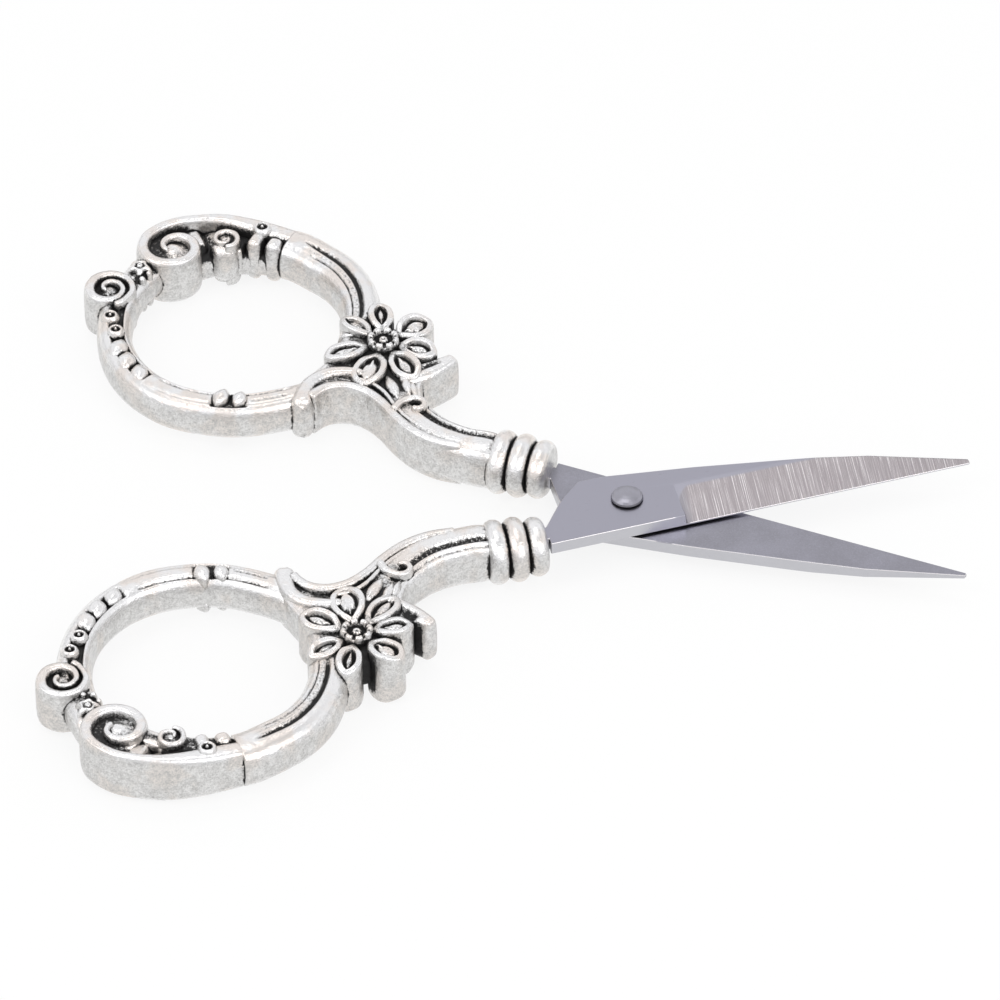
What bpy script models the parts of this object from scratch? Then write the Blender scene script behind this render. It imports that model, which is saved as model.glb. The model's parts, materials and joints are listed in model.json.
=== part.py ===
"""Embroidery scissors, half open: two cast handles, two steel blades and the rivet they turn on.

Lengths are in millimetres in the constants and functions, and MM turns them into metres where a
mesh is made. One half is drawn closed: pivot at the origin, blade along +X with its inner face at
z = 0 and its outer face below, handle along -X on the +Y side. The other half is the same half
turned over about X. Each half is then turned about the pivot by half of the opening angle.
"""

import math

import bmesh
import bpy
from mathutils import Matrix, Vector

MM = 0.001

# Assembly
OPEN_HALF_ANGLE = 14.15
TOUCH_GAP = 0.3

# Blade
BLADE_THICKNESS = 1.9
BLADE_TIP_X = 47.4
BLADE_TIP_WIDTH = 0.6
EDGE_START = Vector((6.7, 5.05))
EDGE_LAND = 0.4
BEVEL_WIDTH = 6.4
BEVEL_LEAD = 1.1
SPINE = ((34.0, -2.5), (24.0, -3.5), (10.0, -4.7), (-1.8, -5.25))
SHANK_BACK = ((-5.8, -4.9), (-8.3, -2.2), (-9.6, -0.3))
SHANK_END_X = -11.9
SHANK_WIDTH = 3.6
TANG_LENGTH = 9.0
TANG_WIDTH = 2.4

# Rivet
RIVET_SHANK_RADIUS = 1.5
RIVET_HEAD_RADIUS = 2.2
RIVET_HEAD_HEIGHT = 0.75

# Fineness of the round pieces
ROUND_SEGMENTS = 24
RIVET_SEGMENTS = 28
BOSS_SEGMENTS = 16
RECESS_SEGMENTS = 18
SMALL_SEGMENTS = 10
SHARP_ANGLE = 35.0

# Collars and neck
COLLAR_AXIS_Y = 4.8
COLLAR_XS = (-13.6, -16.35, -19.1)
COLLAR_HALF_WIDTHS = (4.3, 4.75, 4.75)
COLLAR_FLATTENING = 0.905
COLLAR_ROUNDING = 1.42
NECK_HEIGHT = 7.2
NECK_ROUNDING = 1.8
NECK_PATH = (
    (-13.0, 4.8, 6.2),
    (-19.1, 4.7, 6.4),
    (-24.8, 4.8, 6.4),
    (-29.6, 6.0, 6.2),
    (-33.4, 8.7, 6.0),
    (-36.6, 12.4, 5.6),
    (-40.0, 16.5, 5.6),
)

# Finger ring: centre line and width, from the flower round the hole and back
RING_HEIGHT = 5.6
RING_ROUNDING = 1.9
RING_PATH = (
    (-45.2, 21.0, 5.0),
    (-45.3, 15.0, 5.0),
    (-47.4, 10.2, 5.0),
    (-51.8, 6.5, 5.2),
    (-56.6, 4.0, 5.2),
    (-61.4, 3.2, 5.2),
    (-66.0, 3.5, 5.2),
    (-70.4, 5.3, 5.0),
    (-74.0, 8.2, 4.9),
    (-76.8, 12.0, 4.8),
    (-78.6, 16.8, 4.9),
    (-79.2, 21.8, 5.0),
    (-78.4, 27.4, 5.2),
    (-75.4, 34.4, 7.4),
    (-70.6, 38.0, 7.0),
    (-65.6, 39.0, 6.8),
    (-60.9, 39.0, 6.8),
    (-56.4, 37.9, 6.4),
    (-51.8, 35.5, 6.0),
    (-48.3, 31.8, 5.7),
    (-46.1, 27.0, 5.3),
)

# Cast body between the ring and the neck, with the inner curl and the outer horn
BODY_HEIGHT = 7.0
BODY_ROUNDING = 0.7
BODY_OUTLINE = (
    (-27.5, 2.1),
    (-31.2, 3.2),
    (-34.2, 5.1),
    (-37.0, 7.6),
    (-39.8, 9.5),
    (-42.6, 10.1),
    (-45.0, 9.4),
    (-46.3, 7.7),
    (-46.6, 5.8),
    (-48.5, 5.3),
    (-49.6, 8.4),
    (-49.0, 12.4),
    (-47.4, 16.4),
    (-47.0, 21.0),
    (-46.2, 25.8),
    (-41.0, 26.6),
    (-36.4, 27.2),
    (-34.2, 24.8),
    (-33.4, 21.9),
    (-30.4, 21.2),
    (-29.9, 20.2),
    (-32.7, 18.0),
    (-33.4, 14.6),
    (-31.8, 11.4),
    (-28.4, 8.9),
)

# Flower: centre, then each petal's direction and length
FLOWER_CENTRE = (-41.1, 21.0)
FLOWER_HEIGHT = 7.6
PETALS = ((53.0, 8.0), (111.0, 8.4), (156.0, 7.8), (219.0, 8.4), (269.0, 9.6), (316.0, 9.0), (358.0, 7.6))
PETAL_WIDTH = 4.5
PETAL_ROUNDING = 0.5
PETAL_BELLY = 0.62
PETAL_ROOT = 0.4
BUTTON_RADIUS = 2.3
BUTTON_HEIGHT = 8.6

# Scrolls, bosses and lobes: centre, radius and height
SCROLLS = (
    ((-75.7, 33.1), 4.1, 7.2),
    ((-81.2, 21.4), 3.6, 6.8),
    ((-68.8, 36.2), 2.2, 6.6),
)
SCROLL_RIM = 1.2
SCROLL_DEPTH = 0.6
SCROLL_EYE = 0.4
BOSS_CHAMFER = 0.25
CUTTER_CHAMFER = 0.1
BOSSES = (
    ((-78.5, 27.6), 1.9, 7.0),
    ((-65.0, 36.6), 1.2, 6.4),
    ((-62.4, 37.0), 1.4, 6.4),
    ((-64.8, 39.6), 1.4, 6.6),
)
BEADS = (((-79.1, 15.8), 1.0), ((-77.5, 13.1), 0.9), ((-58.4, 4.2), 1.1), ((-56.3, 4.9), 1.0))
BEAD_TOP = 3.2
NUB_PLACE = (-57.6, 3.4)
NUB_RADIUS = 2.9
NUB_WIDTH = 2.2
NUB_CHAMFER = 0.6

SLOT_CLEARANCE = TOUCH_GAP
PIN_CLEARANCE = TOUCH_GAP
FACE_Z = TOUCH_GAP / 2
OUTER_Z = FACE_Z + BLADE_THICKNESS

CAST_COLOUR = (0.74, 0.73, 0.71, 1.0)
STEEL_COLOUR = (0.60, 0.60, 0.62, 1.0)
RIVET_COLOUR = (0.55, 0.55, 0.57, 1.0)


def clear_scene():
    for obj in list(bpy.data.objects):
        bpy.data.objects.remove(obj, do_unlink=True)


def material(name, colour, roughness):
    made = bpy.data.materials.new(name)
    made.use_nodes = True
    shader = made.node_tree.nodes["Principled BSDF"]
    shader.inputs["Base Color"].default_value = colour
    shader.inputs["Roughness"].default_value = roughness
    shader.inputs["Metallic"].default_value = 1.0
    return made


def add_object(name, data):
    obj = bpy.data.objects.new(name, data)
    bpy.context.scene.collection.objects.link(obj)
    return obj


def settle(obj, name):
    """Replaces an object by a plain mesh object of what its curve and modifiers make, welded."""
    graph = bpy.context.evaluated_depsgraph_get()
    mesh = bpy.data.meshes.new_from_object(obj.evaluated_get(graph))
    bpy.data.objects.remove(obj, do_unlink=True)
    work = bmesh.new()
    work.from_mesh(mesh)
    bmesh.ops.remove_doubles(work, verts=work.verts, dist=0.0001 * MM)
    bmesh.ops.recalc_face_normals(work, faces=work.faces)
    work.to_mesh(mesh)
    work.free()
    return add_object(name, mesh)


def rounded_section(width, height, corner):
    """The points of a rectangle with round corners, centred on the origin."""
    steps = 2
    points = []
    for quarter in range(4):
        side_x = 1 if quarter in (0, 3) else -1
        side_y = 1 if quarter in (0, 1) else -1
        for step in range(steps + 1):
            angle = math.pi / 2 * (quarter + step / steps)
            x = side_x * (width / 2 - corner) + corner * math.cos(angle)
            y = side_y * (height / 2 - corner) + corner * math.sin(angle)
            points.append((x, y))
    return points


def smoothed(path, steps, cyclic):
    """Points along a smooth curve through the path's points, with the direction at each."""
    stations = [Vector(point) for point in path]
    last = len(stations)

    def station(i):
        return stations[i % last] if cyclic else stations[min(max(i, 0), last - 1)]

    samples = []
    for i in range(last if cyclic else last - 1):
        p, q, r, s = (station(i + k) for k in (-1, 0, 1, 2))
        for step in range(steps):
            t = step / steps
            point = q + (r - p) * t / 2 + (2 * p - 5 * q + 4 * r - s) * t * t / 2
            point += (3 * q - p - 3 * r + s) * t * t * t / 2
            way = (r - p) / 2 + (2 * p - 5 * q + 4 * r - s) * t + (3 * q - p - 3 * r + s) * 1.5 * t * t
            samples.append((point, way))
    if not cyclic:
        samples.append((stations[-1], stations[-1] - stations[-2]))
    return samples


def swept(name, path, height, corner, cyclic):
    """A bar of rounded section carried along a flat path of (x, y, width)."""
    work = bmesh.new()
    loops = []
    for point, way in smoothed(path, 2, cyclic):
        across = Vector((way.y, -way.x)).normalized()
        ring = []
        for offset, z in rounded_section(point.z, height, corner):
            ring.append(work.verts.new(Vector((*(point.xy + across * offset), z)) * MM))
        loops.append([work.edges.new((ring[i - 1], ring[i])) for i in range(len(ring))])
    for i in range(0 if cyclic else 1, len(loops)):
        bmesh.ops.bridge_loops(work, edges=loops[i - 1] + loops[i])
    if not cyclic:
        for loop in (loops[0], loops[-1]):
            bmesh.ops.contextual_create(work, geom=loop)
    bmesh.ops.recalc_face_normals(work, faces=work.faces)
    mesh = bpy.data.meshes.new(name)
    work.to_mesh(mesh)
    work.free()
    return add_object(name, mesh)


def extruded(name, outline, height, rounding, resolution, smooth=True):
    """A flat outline made into a slab of this height, centred on z = 0, with its rims rounded."""
    data = bpy.data.curves.new(name, "CURVE")
    data.dimensions = "2D"
    data.fill_mode = "BOTH"
    data.resolution_u = resolution
    data.extrude = (height / 2 - rounding) * MM
    data.bevel_depth = rounding * MM
    data.bevel_resolution = 0
    data.offset = -rounding * MM
    spline = data.splines.new("BEZIER")
    spline.bezier_points.add(len(outline) - 1)
    handle = "AUTO" if smooth else "VECTOR"
    for point, (x, y) in zip(spline.bezier_points, outline):
        point.co = (x * MM, y * MM, 0)
        point.handle_left_type = handle
        point.handle_right_type = handle
    spline.use_cyclic_u = True
    return settle(add_object(name, data), name)


def turned(name, profile, segments):
    """A body turned about Z from its (radius, z) profile, which starts and ends on the axis."""
    work = bmesh.new()
    verts = [work.verts.new((radius * MM, 0, z * MM)) for radius, z in profile]
    edges = [work.edges.new(pair) for pair in zip(verts, verts[1:])]
    bmesh.ops.spin(
        work, geom=verts + edges, cent=(0, 0, 0), axis=(0, 0, 1), angle=2 * math.pi, steps=segments
    )
    bmesh.ops.remove_doubles(work, verts=work.verts, dist=0.001 * MM)
    bmesh.ops.recalc_face_normals(work, faces=work.faces)
    mesh = bpy.data.meshes.new(name)
    work.to_mesh(mesh)
    work.free()
    return add_object(name, mesh)


def moved(obj, x, y, z=0.0, turn=None):
    """Bakes a place, and a turn before it, into the mesh."""
    place = Matrix.Translation((x * MM, y * MM, z * MM))
    obj.data.transform(place @ turn if turn else place)
    obj.data.update()
    return obj


def disc(name, centre, radius, height, chamfer=BOSS_CHAMFER, segments=ROUND_SEGMENTS, z=0.0):
    """A round boss centred on z, with its rims chamfered."""
    top = height / 2
    profile = [
        (0, top),
        (radius - chamfer, top),
        (radius, top - chamfer),
        (radius, chamfer - top),
        (radius - chamfer, -top),
        (0, -top),
    ]
    return moved(turned(name, profile, segments), *centre, z)


def ball(name, x, y, z, radius):
    steps = 6
    angles = [math.pi * i / steps for i in range(1, steps)]
    profile = [(radius * math.sin(angle), radius * math.cos(angle)) for angle in angles]
    return moved(turned(name, [(0, radius), *profile, (0, -radius)], SMALL_SEGMENTS), x, y, z)


def combine(target, others, operation):
    """Joins the others to the target, or cuts them from it, and removes them."""
    for other in others:
        modifier = target.modifiers.new(operation.lower(), "BOOLEAN")
        modifier.operation = operation
        modifier.solver = "EXACT"
        modifier.object = other
        target = settle(target, target.name)
        bpy.data.objects.remove(other, do_unlink=True)
    return target


def collar(x, half_width):
    """One rounded collar round the neck: a disc with a half-round rim, turned about X and flattened."""
    steps = 4
    profile = [(0, COLLAR_ROUNDING)]
    for i in range(steps + 1):
        angle = math.pi / 2 - math.pi * i / steps
        rim = half_width - COLLAR_ROUNDING + COLLAR_ROUNDING * math.cos(angle)
        profile.append((rim, COLLAR_ROUNDING * math.sin(angle)))
    profile.append((0, -COLLAR_ROUNDING))
    turn = Matrix.Diagonal((1, 1, COLLAR_FLATTENING, 1)) @ Matrix.Rotation(math.pi / 2, 4, "Y")
    return moved(turned("collar", profile, ROUND_SEGMENTS), x, COLLAR_AXIS_Y, 0, turn)


def petal(direction, length):
    """One almond-shaped petal, from under the button to its tip."""
    root = BUTTON_RADIUS * PETAL_ROOT
    belly = length * PETAL_BELLY
    shape = ((root, 0), (belly, PETAL_WIDTH / 2), (length, 0), (belly, -PETAL_WIDTH / 2))
    turn = Matrix.Rotation(math.radians(direction), 4, "Z")
    slab = extruded("petal", shape, FLOWER_HEIGHT, PETAL_ROUNDING, 3)
    return moved(slab, *FLOWER_CENTRE, 0, turn)


def scroll_parts(centre, radius, height):
    """A round scroll: its boss, and the ring-shaped recesses of its two faces."""
    boss = disc("scroll", centre, radius, height)
    recess_radius = radius - SCROLL_RIM
    eye_radius = recess_radius * SCROLL_EYE
    recesses = []
    for side in (1, -1):
        z = side * height / 2
        ring = disc("recess", centre, recess_radius, 2 * SCROLL_DEPTH, CUTTER_CHAMFER, RECESS_SEGMENTS, z)
        eye = disc("eye", centre, eye_radius, 4 * SCROLL_DEPTH, CUTTER_CHAMFER, SMALL_SEGMENTS, z)
        recesses.append(combine(ring, [eye], "DIFFERENCE"))
    return boss, recesses


def tang_slot():
    """The cutter for the blind socket that takes the tang, open at the collar's end."""
    length = TANG_LENGTH + SLOT_CLEARANCE + COLLAR_ROUNDING
    width = TANG_WIDTH + 2 * SLOT_CLEARANCE
    height = BLADE_THICKNESS + 2 * SLOT_CLEARANCE
    work = bmesh.new()
    bmesh.ops.create_cube(work, size=MM)
    mesh = bpy.data.meshes.new("slot")
    work.to_mesh(mesh)
    work.free()
    mesh.transform(Matrix.Diagonal((length, width, height, 1)))
    x = SHANK_END_X - TANG_LENGTH - SLOT_CLEARANCE + length / 2
    return moved(add_object("slot", mesh), x, COLLAR_AXIS_Y, -(FACE_Z + OUTER_Z) / 2)


def handle():
    """One cast handle of the half that is drawn, with its socket cut."""
    body = swept("handle", RING_PATH, RING_HEIGHT, RING_ROUNDING, True)
    neck = swept("neck", NECK_PATH, NECK_HEIGHT, NECK_ROUNDING, False)
    web = extruded("body", BODY_OUTLINE, BODY_HEIGHT, BODY_ROUNDING, 2)
    pieces = [neck, web]
    pieces += [collar(x, half_width) for x, half_width in zip(COLLAR_XS, COLLAR_HALF_WIDTHS)]
    pieces += [petal(direction, length) for direction, length in PETALS]
    pieces.append(disc("button", FLOWER_CENTRE, BUTTON_RADIUS, BUTTON_HEIGHT))
    recesses = []
    for centre, radius, height in SCROLLS:
        boss, cuts = scroll_parts(centre, radius, height)
        pieces.append(boss)
        recesses += cuts
    for centre, radius, height in BOSSES:
        pieces.append(disc("boss", centre, radius, height, segments=BOSS_SEGMENTS))
    for (x, y), radius in BEADS:
        for side in (1, -1):
            pieces.append(ball("bead", x, y, side * (BEAD_TOP - radius), radius))
    nub = disc("nub", (0, 0), NUB_RADIUS, NUB_WIDTH, NUB_CHAMFER, BOSS_SEGMENTS)
    pieces.append(moved(nub, *NUB_PLACE, 0, Matrix.Rotation(math.pi / 2, 4, "Y")))
    body = combine(body, pieces, "UNION")
    return combine(body, recesses + [tang_slot()], "DIFFERENCE")


def edge_direction():
    """The unit direction of the straight cutting edge, from its start towards the tip."""
    return (Vector((BLADE_TIP_X, BLADE_TIP_WIDTH)) - EDGE_START).normalized()


def blade_outline():
    """The blade seen from above, tang and shank included, anticlockwise from the tip's edge side."""
    along = edge_direction()
    slope = along.y / along.x
    shank_top = EDGE_START.y + (SHANK_END_X - EDGE_START.x) * slope
    tang_end = SHANK_END_X - TANG_LENGTH
    return [
        (BLADE_TIP_X, BLADE_TIP_WIDTH),
        (SHANK_END_X, shank_top),
        (SHANK_END_X, COLLAR_AXIS_Y + TANG_WIDTH / 2),
        (tang_end, COLLAR_AXIS_Y + TANG_WIDTH / 2),
        (tang_end, COLLAR_AXIS_Y - TANG_WIDTH / 2),
        (SHANK_END_X, COLLAR_AXIS_Y - TANG_WIDTH / 2),
        (SHANK_END_X, shank_top - SHANK_WIDTH),
        *reversed(SHANK_BACK),
        *reversed(SPINE),
        (BLADE_TIP_X, 0.0),
    ]


def bevel_cutter():
    """The block that grinds the outer face down to a thin land along the cutting edge."""
    along = edge_direction()
    across = Vector((along.y, -along.x))
    rise = (BLADE_THICKNESS - EDGE_LAND) / BEVEL_WIDTH
    reach = 2 * BEVEL_WIDTH
    work = bmesh.new()
    bmesh.ops.create_cube(work, size=2)
    for vert in work.verts:
        lead = -BEVEL_LEAD / 2 if vert.co.z < 0 else BEVEL_LEAD / 2
        run = lead if vert.co.x < 0 else 2 * BLADE_TIP_X
        side = -BEVEL_WIDTH if vert.co.y < 0 else reach
        plan = EDGE_START + along * run + across * side
        ground = -FACE_Z - EDGE_LAND - rise * side
        vert.co = Vector((plan.x, plan.y, ground if vert.co.z > 0 else ground - reach)) * MM
    work.normal_update()
    bmesh.ops.recalc_face_normals(work, faces=work.faces)
    mesh = bpy.data.meshes.new("bevel_cutter")
    work.to_mesh(mesh)
    work.free()
    return add_object("bevel_cutter", mesh)


def blade():
    """One blade of the half that is drawn: flat inner face up, bevelled outer face down."""
    flat = extruded("blade", blade_outline(), BLADE_THICKNESS, 0.0, 1, smooth=False)
    flat = moved(flat, 0, 0, -(FACE_Z + OUTER_Z) / 2)
    hole_radius = RIVET_SHANK_RADIUS + PIN_CLEARANCE
    hole = disc("hole", (0, 0), hole_radius, 4 * OUTER_Z, CUTTER_CHAMFER, RIVET_SEGMENTS)
    return combine(flat, [bevel_cutter(), hole], "DIFFERENCE")


def rivet():
    """The rivet: a plain shank between two domed heads."""
    seat = OUTER_Z + TOUCH_GAP
    steps = 5
    profile = []
    for i in range(steps + 1):
        angle = math.pi / 2 * i / steps
        profile.append((RIVET_HEAD_RADIUS * math.sin(angle), seat + RIVET_HEAD_HEIGHT * math.cos(angle)))
    profile[0] = (0, seat + RIVET_HEAD_HEIGHT)
    lower = [(radius, -z) for radius, z in reversed(profile)]
    profile += [(RIVET_SHANK_RADIUS, seat), (RIVET_SHANK_RADIUS, -seat)]
    return turned("pivot_rivet", profile + lower, RIVET_SEGMENTS)


def finish(obj, surface):
    obj.data.materials.clear()
    obj.data.materials.append(surface)
    obj.data.shade_smooth()
    obj.data.set_sharp_from_angle(angle=math.radians(SHARP_ANGLE))


def turned_over(obj, name):
    """A second object of the same mesh, for the half that is turned over about X."""
    copy = add_object(name, obj.data)
    copy.rotation_euler = (math.pi, 0, math.radians(OPEN_HALF_ANGLE))
    return copy


def stand_on_table(objects):
    """Puts the pivot where the whole object stands on z = 0 with its box centred over the origin."""
    bpy.context.view_layer.update()
    corners = [obj.matrix_world @ vert.co for obj in objects for vert in obj.data.vertices]
    middle_x = (min(c.x for c in corners) + max(c.x for c in corners)) / 2
    lowest = min(c.z for c in corners)
    for obj in objects:
        obj.location = (-middle_x, 0, -lowest)


def build():
    clear_scene()
    cast = material("antique_silver_casting", CAST_COLOUR, 0.3)
    steel = material("ground_steel", STEEL_COLOUR, 0.35)
    rivet_steel = material("rivet_steel", RIVET_COLOUR, 0.4)
    far_handle = handle()
    far_handle.name = "far_handle"
    finish(far_handle, cast)
    lower_blade = blade()
    lower_blade.name = "lower_blade"
    finish(lower_blade, steel)
    pin = rivet()
    finish(pin, rivet_steel)
    for obj in (far_handle, lower_blade, pin):
        obj.rotation_euler = (0, 0, -math.radians(OPEN_HALF_ANGLE))
    near_handle = turned_over(far_handle, "near_handle")
    upper_blade = turned_over(lower_blade, "upper_blade")
    stand_on_table([far_handle, lower_blade, pin, near_handle, upper_blade])


build()
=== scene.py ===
"""Looks of a pair of embroidery scissors: two cast antique silver handles, two steel blades and a rivet."""

import functools
import json
import math

import bpy
import numpy as np
from mathutils import Matrix, Vector


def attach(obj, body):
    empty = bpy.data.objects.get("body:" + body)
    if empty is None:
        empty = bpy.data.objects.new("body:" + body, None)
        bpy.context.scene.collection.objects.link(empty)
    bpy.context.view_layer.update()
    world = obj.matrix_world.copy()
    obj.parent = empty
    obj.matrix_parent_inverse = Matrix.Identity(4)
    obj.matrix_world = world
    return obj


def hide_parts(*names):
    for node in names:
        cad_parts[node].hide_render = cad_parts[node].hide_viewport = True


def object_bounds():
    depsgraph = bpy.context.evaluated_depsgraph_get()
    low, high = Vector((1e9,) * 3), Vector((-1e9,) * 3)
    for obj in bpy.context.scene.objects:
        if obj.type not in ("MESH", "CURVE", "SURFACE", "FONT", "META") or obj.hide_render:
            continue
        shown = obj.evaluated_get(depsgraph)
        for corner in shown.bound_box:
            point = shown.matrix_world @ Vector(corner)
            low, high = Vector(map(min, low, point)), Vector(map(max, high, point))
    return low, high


bl_info = {
    "name": "Embroidery scissors",
    "version": (1, 0, 0),
    "blender": (4, 5, 0),
    "location": "3D View > Sidebar > Scissors",
    "description": "Builds the cast handles, the blades and the studio of a pair of embroidery scissors",
    "category": "Object",
}

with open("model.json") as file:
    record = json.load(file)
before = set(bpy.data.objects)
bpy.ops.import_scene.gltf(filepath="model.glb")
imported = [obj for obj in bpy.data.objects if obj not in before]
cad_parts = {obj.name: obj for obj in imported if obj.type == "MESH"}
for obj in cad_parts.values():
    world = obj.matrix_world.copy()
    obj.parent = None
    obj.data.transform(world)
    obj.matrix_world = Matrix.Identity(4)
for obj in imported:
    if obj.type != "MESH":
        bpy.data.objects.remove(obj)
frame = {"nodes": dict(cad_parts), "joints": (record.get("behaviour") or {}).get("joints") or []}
CAD_LOW, CAD_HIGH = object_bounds()

# Sizes in millimetres, in the frame of one half drawn shut: the pivot is the origin, the blade
# points along +X, the handle lies along -X above the X axis, and Z is 0 at the middle.
MM = 0.001
PIVOT = np.array(frame["joints"][0]["pos_m"]) / MM

# Degrees that each half is turned about the pivot, to lie half open.
HALF_OPEN = 14.15
TURN = {"far": -HALF_OPEN, "near": HALF_OPEN}

# The middle line of the finger ring: place and width.
RING = (
    (-45.2, 21.0, 5.0), (-45.3, 15.0, 5.0), (-47.4, 10.2, 5.0), (-51.8, 6.5, 5.0),
    (-56.6, 4.0, 5.0), (-61.4, 3.2, 5.1), (-66.0, 3.5, 5.2), (-70.4, 5.3, 5.0),
    (-74.0, 8.2, 4.9), (-76.8, 12.0, 4.8), (-78.6, 16.8, 4.9), (-79.2, 21.8, 5.0),
    (-78.4, 27.4, 5.2), (-75.6, 34.3, 6.8), (-70.9, 38.4, 4.9), (-65.6, 39.4, 4.0),
    (-60.9, 39.0, 5.4), (-56.4, 37.9, 6.2), (-51.8, 35.5, 6.0), (-48.3, 31.8, 5.7),
    (-46.1, 27.0, 5.3),
)
RING_MIDDLE = (-62.0, 21.3)

# The outer band: place, width and half height. It narrows to a ridge and winds into the big curl.
BAND = (
    (-59.7, 39.8, 3.2, 3.15), (-64.6, 40.3, 3.3, 3.35), (-67.6, 40.5, 2.8, 3.5), (-70.5, 40.35, 2.3, 3.6),
    (-73.0, 39.7, 1.9, 3.6), (-76.6, 37.95, 1.75, 3.6), (-78.6, 35.85, 1.75, 3.6), (-79.6, 33.6, 1.85, 3.6),
)
# The curls: angle in degrees, radius about the curl's middle and width of the wall.
BIG_CURL = (-75.5, 32.6)
BIG_TURN = (
    (200, 4.0, 1.95), (235, 3.85, 2.0), (270, 3.65, 2.0), (315, 3.45, 1.95), (360, 3.3, 1.9),
    (405, 3.0, 1.75), (445, 2.55, 1.5), (480, 2.05, 1.25), (515, 1.6, 1.1), (550, 1.2, 1.05),
    (590, 0.9, 1.0), (625, 0.65, 0.95),
)
SMALL_CURL = (-81.05, 21.55)
SMALL_TURN = (
    (-60, 3.6, 1.0), (-35, 3.35, 1.0), (10, 3.3, 1.1), (55, 3.3, 1.2), (100, 3.2, 1.35), (145, 2.95, 1.55),
    (190, 2.65, 1.7), (235, 2.6, 1.6), (280, 2.5, 1.4), (325, 2.25, 1.15), (370, 2.0, 0.95),
    (415, 1.75, 0.85), (460, 1.5, 0.8), (505, 1.1, 0.75), (550, 0.75, 0.7), (595, 0.5, 0.65),
    (640, 0.35, 0.6),
)
THIRD_CURL = (-68.9, 36.1)
THIRD_TURN = (
    (-75, 1.8, 0.8), (-30, 1.75, 0.9), (15, 1.7, 0.95), (60, 1.7, 0.95), (105, 1.65, 0.9), (150, 1.5, 0.85),
    (195, 1.35, 0.8), (240, 1.15, 0.75), (285, 0.9, 0.7), (330, 0.7, 0.65), (375, 0.45, 0.6), (420, 0.3, 0.5),
)
# Pillars on the inside of the ring: the outer end, the inner end, the width and the half height.
PILLARS = (
    ((-68.6, 38.6), (-69.0, 33.6), 4.3, 3.1), ((-64.7, 39.2), (-65.1, 35.85), 2.4, 3.35),
    ((-62.0, 39.0), (-62.35, 35.95), 2.6, 3.35), ((-66.7, 38.0), (-66.95, 35.2), 1.3, 2.2),
)
# The ledge that joins them, and the smooth upper bow: place and width.
LEDGE = (
    (-73.0, 32.9, 2.4), (-70.6, 35.2, 2.8), (-67.6, 36.65, 2.9), (-64.6, 37.55, 2.9), (-60.6, 38.0, 2.9),
)
BOW = (
    (-60.4, 39.1, 6.4), (-58.8, 38.8, 6.5), (-56.4, 37.85, 6.5), (-51.8, 35.45, 6.2), (-48.4, 31.9, 5.9),
    (-46.2, 27.2, 5.5), (-45.3, 21.5, 5.2),
)
# Beads: middle, radius, base and top. Leaves: both ends, width, base and top.
ROSETTE = (-78.5, 27.5)
SMALL_BEADS = (
    ((-77.4, 25.2), 0.6, 1.9, 3.1), ((-78.7, 24.9), 0.55, 1.9, 3.05), ((-76.9, 26.6), 0.55, 1.9, 3.1),
)
RING_LEAVES = (
    ((-75.8, 12.2), (-76.0, 8.3), 2.9, 2.2, 3.35), ((-74.3, 9.9), (-73.6, 6.1), 2.8, 2.2, 3.35),
    ((-72.2, 7.7), (-70.7, 4.4), 2.6, 2.2, 3.3), ((-58.8, 5.9), (-59.2, 2.2), 2.5, 2.3, 3.6),
    ((-56.4, 6.0), (-56.6, 2.9), 2.3, 2.3, 3.55),
)
WEB_LEAVES = (
    ((-38.9, 14.9), (-35.3, 9.9), 2.1, 2.3, 3.55), ((-36.6, 15.4), (-34.1, 11.2), 1.7, 2.3, 3.5),
    ((-35.2, 14.6), (-33.2, 11.0), 1.3, 2.3, 3.4),
)

# The neck: place, width and half height. The curl on it: angle and radius.
NECK = (
    (-12.6, 4.8, 4.6, 2.3), (-18.6, 4.75, 4.8, 2.4), (-20.3, 4.7, 6.3, 3.5), (-24.8, 4.8, 6.4, 3.55),
    (-29.0, 5.9, 6.4, 3.5), (-32.6, 8.2, 6.4, 3.3), (-36.0, 11.6, 6.2, 2.9), (-39.0, 15.5, 6.0, 2.6),
)
NECK_CURL = (-32.8, 9.2)
NECK_TURN = (
    (215, 3.2), (185, 2.2), (150, 1.6), (105, 1.45), (60, 1.35), (15, 1.2), (-30, 1.0), (-75, 0.8),
    (-120, 0.55),
)
COLLAR_XS = (-13.6, -16.35, -19.1)
COLLAR_RADII = (4.25, 4.65, 4.65)
COLLAR_FLATTENING = 0.92
COLLAR_AXIS_Y = 4.88

# The web's two edges, point for point, and the bands and the horn on it: place and width.
BODY_BAY = (
    (-24.5, 2.3), (-27.5, 2.3), (-31.2, 3.4), (-34.2, 5.3), (-37.0, 7.8), (-39.8, 9.6), (-42.6, 10.2),
    (-45.0, 9.5), (-46.2, 8.0), (-46.6, 6.8), (-46.9, 5.8), (-47.3, 5.2),
)
BODY_BACK = (
    (-24.5, 7.4), (-28.4, 8.7), (-31.8, 11.2), (-33.4, 14.4), (-33.8, 18.6), (-36.4, 23.6),
    (-41.8, 25.8), (-46.2, 23.2), (-47.2, 17.5), (-49.0, 12.4), (-49.6, 8.4), (-48.6, 5.3),
)
BAY_BAND = (
    (-24.0, 3.0, 1.6), (-28.0, 3.15, 1.7), (-31.6, 4.35, 1.7), (-34.8, 6.5, 1.7), (-37.6, 8.95, 1.7),
    (-40.4, 10.55, 1.7), (-43.2, 10.9, 1.7), (-45.4, 10.05, 1.7), (-46.7, 8.5, 1.8), (-47.4, 7.0, 2.1),
)
FILLET = (
    (-42.6, 12.6, 0.7), (-40.2, 12.3, 0.7), (-37.9, 11.0, 0.7), (-35.8, 8.9, 0.7), (-33.4, 6.8, 0.7),
    (-30.4, 5.2, 0.7), (-27.0, 4.5, 0.6),
)
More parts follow.
